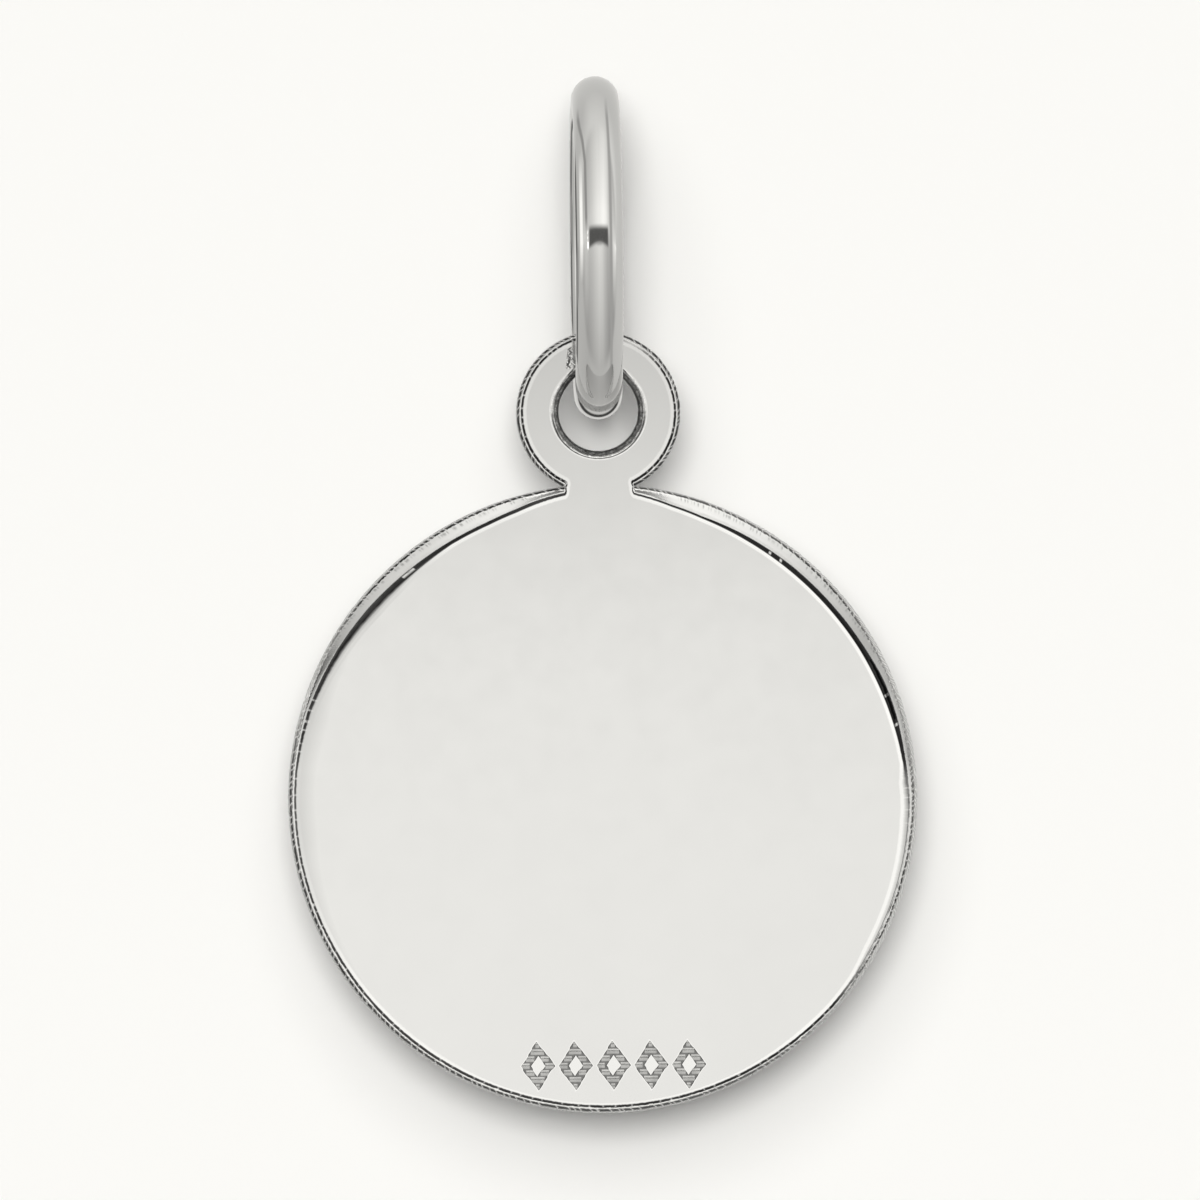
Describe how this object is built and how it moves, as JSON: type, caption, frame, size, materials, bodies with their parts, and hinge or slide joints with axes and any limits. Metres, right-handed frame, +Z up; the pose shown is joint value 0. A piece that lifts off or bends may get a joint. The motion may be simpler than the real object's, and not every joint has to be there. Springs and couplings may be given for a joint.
{
  "type": "disc pendant",
  "caption": "Plain round sheet-metal disc with an eyelet on its rim, hung on a round-wire jump ring that a chain runs through.",
  "frame": {"origin": "inside top of the jump ring, where a chain runs through and carries the pendant", "axes": "+Z up, against the pull of the pendant's weight; the disc hangs in the XZ plane with its back face towards -Y and its plain front face towards +Y; +X is to the right of someone who looks at the back face; the jump ring stands across the disc in the YZ plane"},
  "size_m": [0.011, 0.006, 0.0181],
  "materials": {
    "ring_metal": "polished",
    "disc_metal": "polished"
  },
  "bodies": {
    "ring": {"jump_ring": "ring_metal"},
    "pendant": {"disc": "disc_metal"}
  },
  "joints": [
    {"name": "pendant_swing", "type": "hinge", "parent": "ring", "child": "pendant", "pos_m": [0, 0, -0.00475], "axis": [0, 1, 0], "range_deg": [-115, 115]}
  ]
}
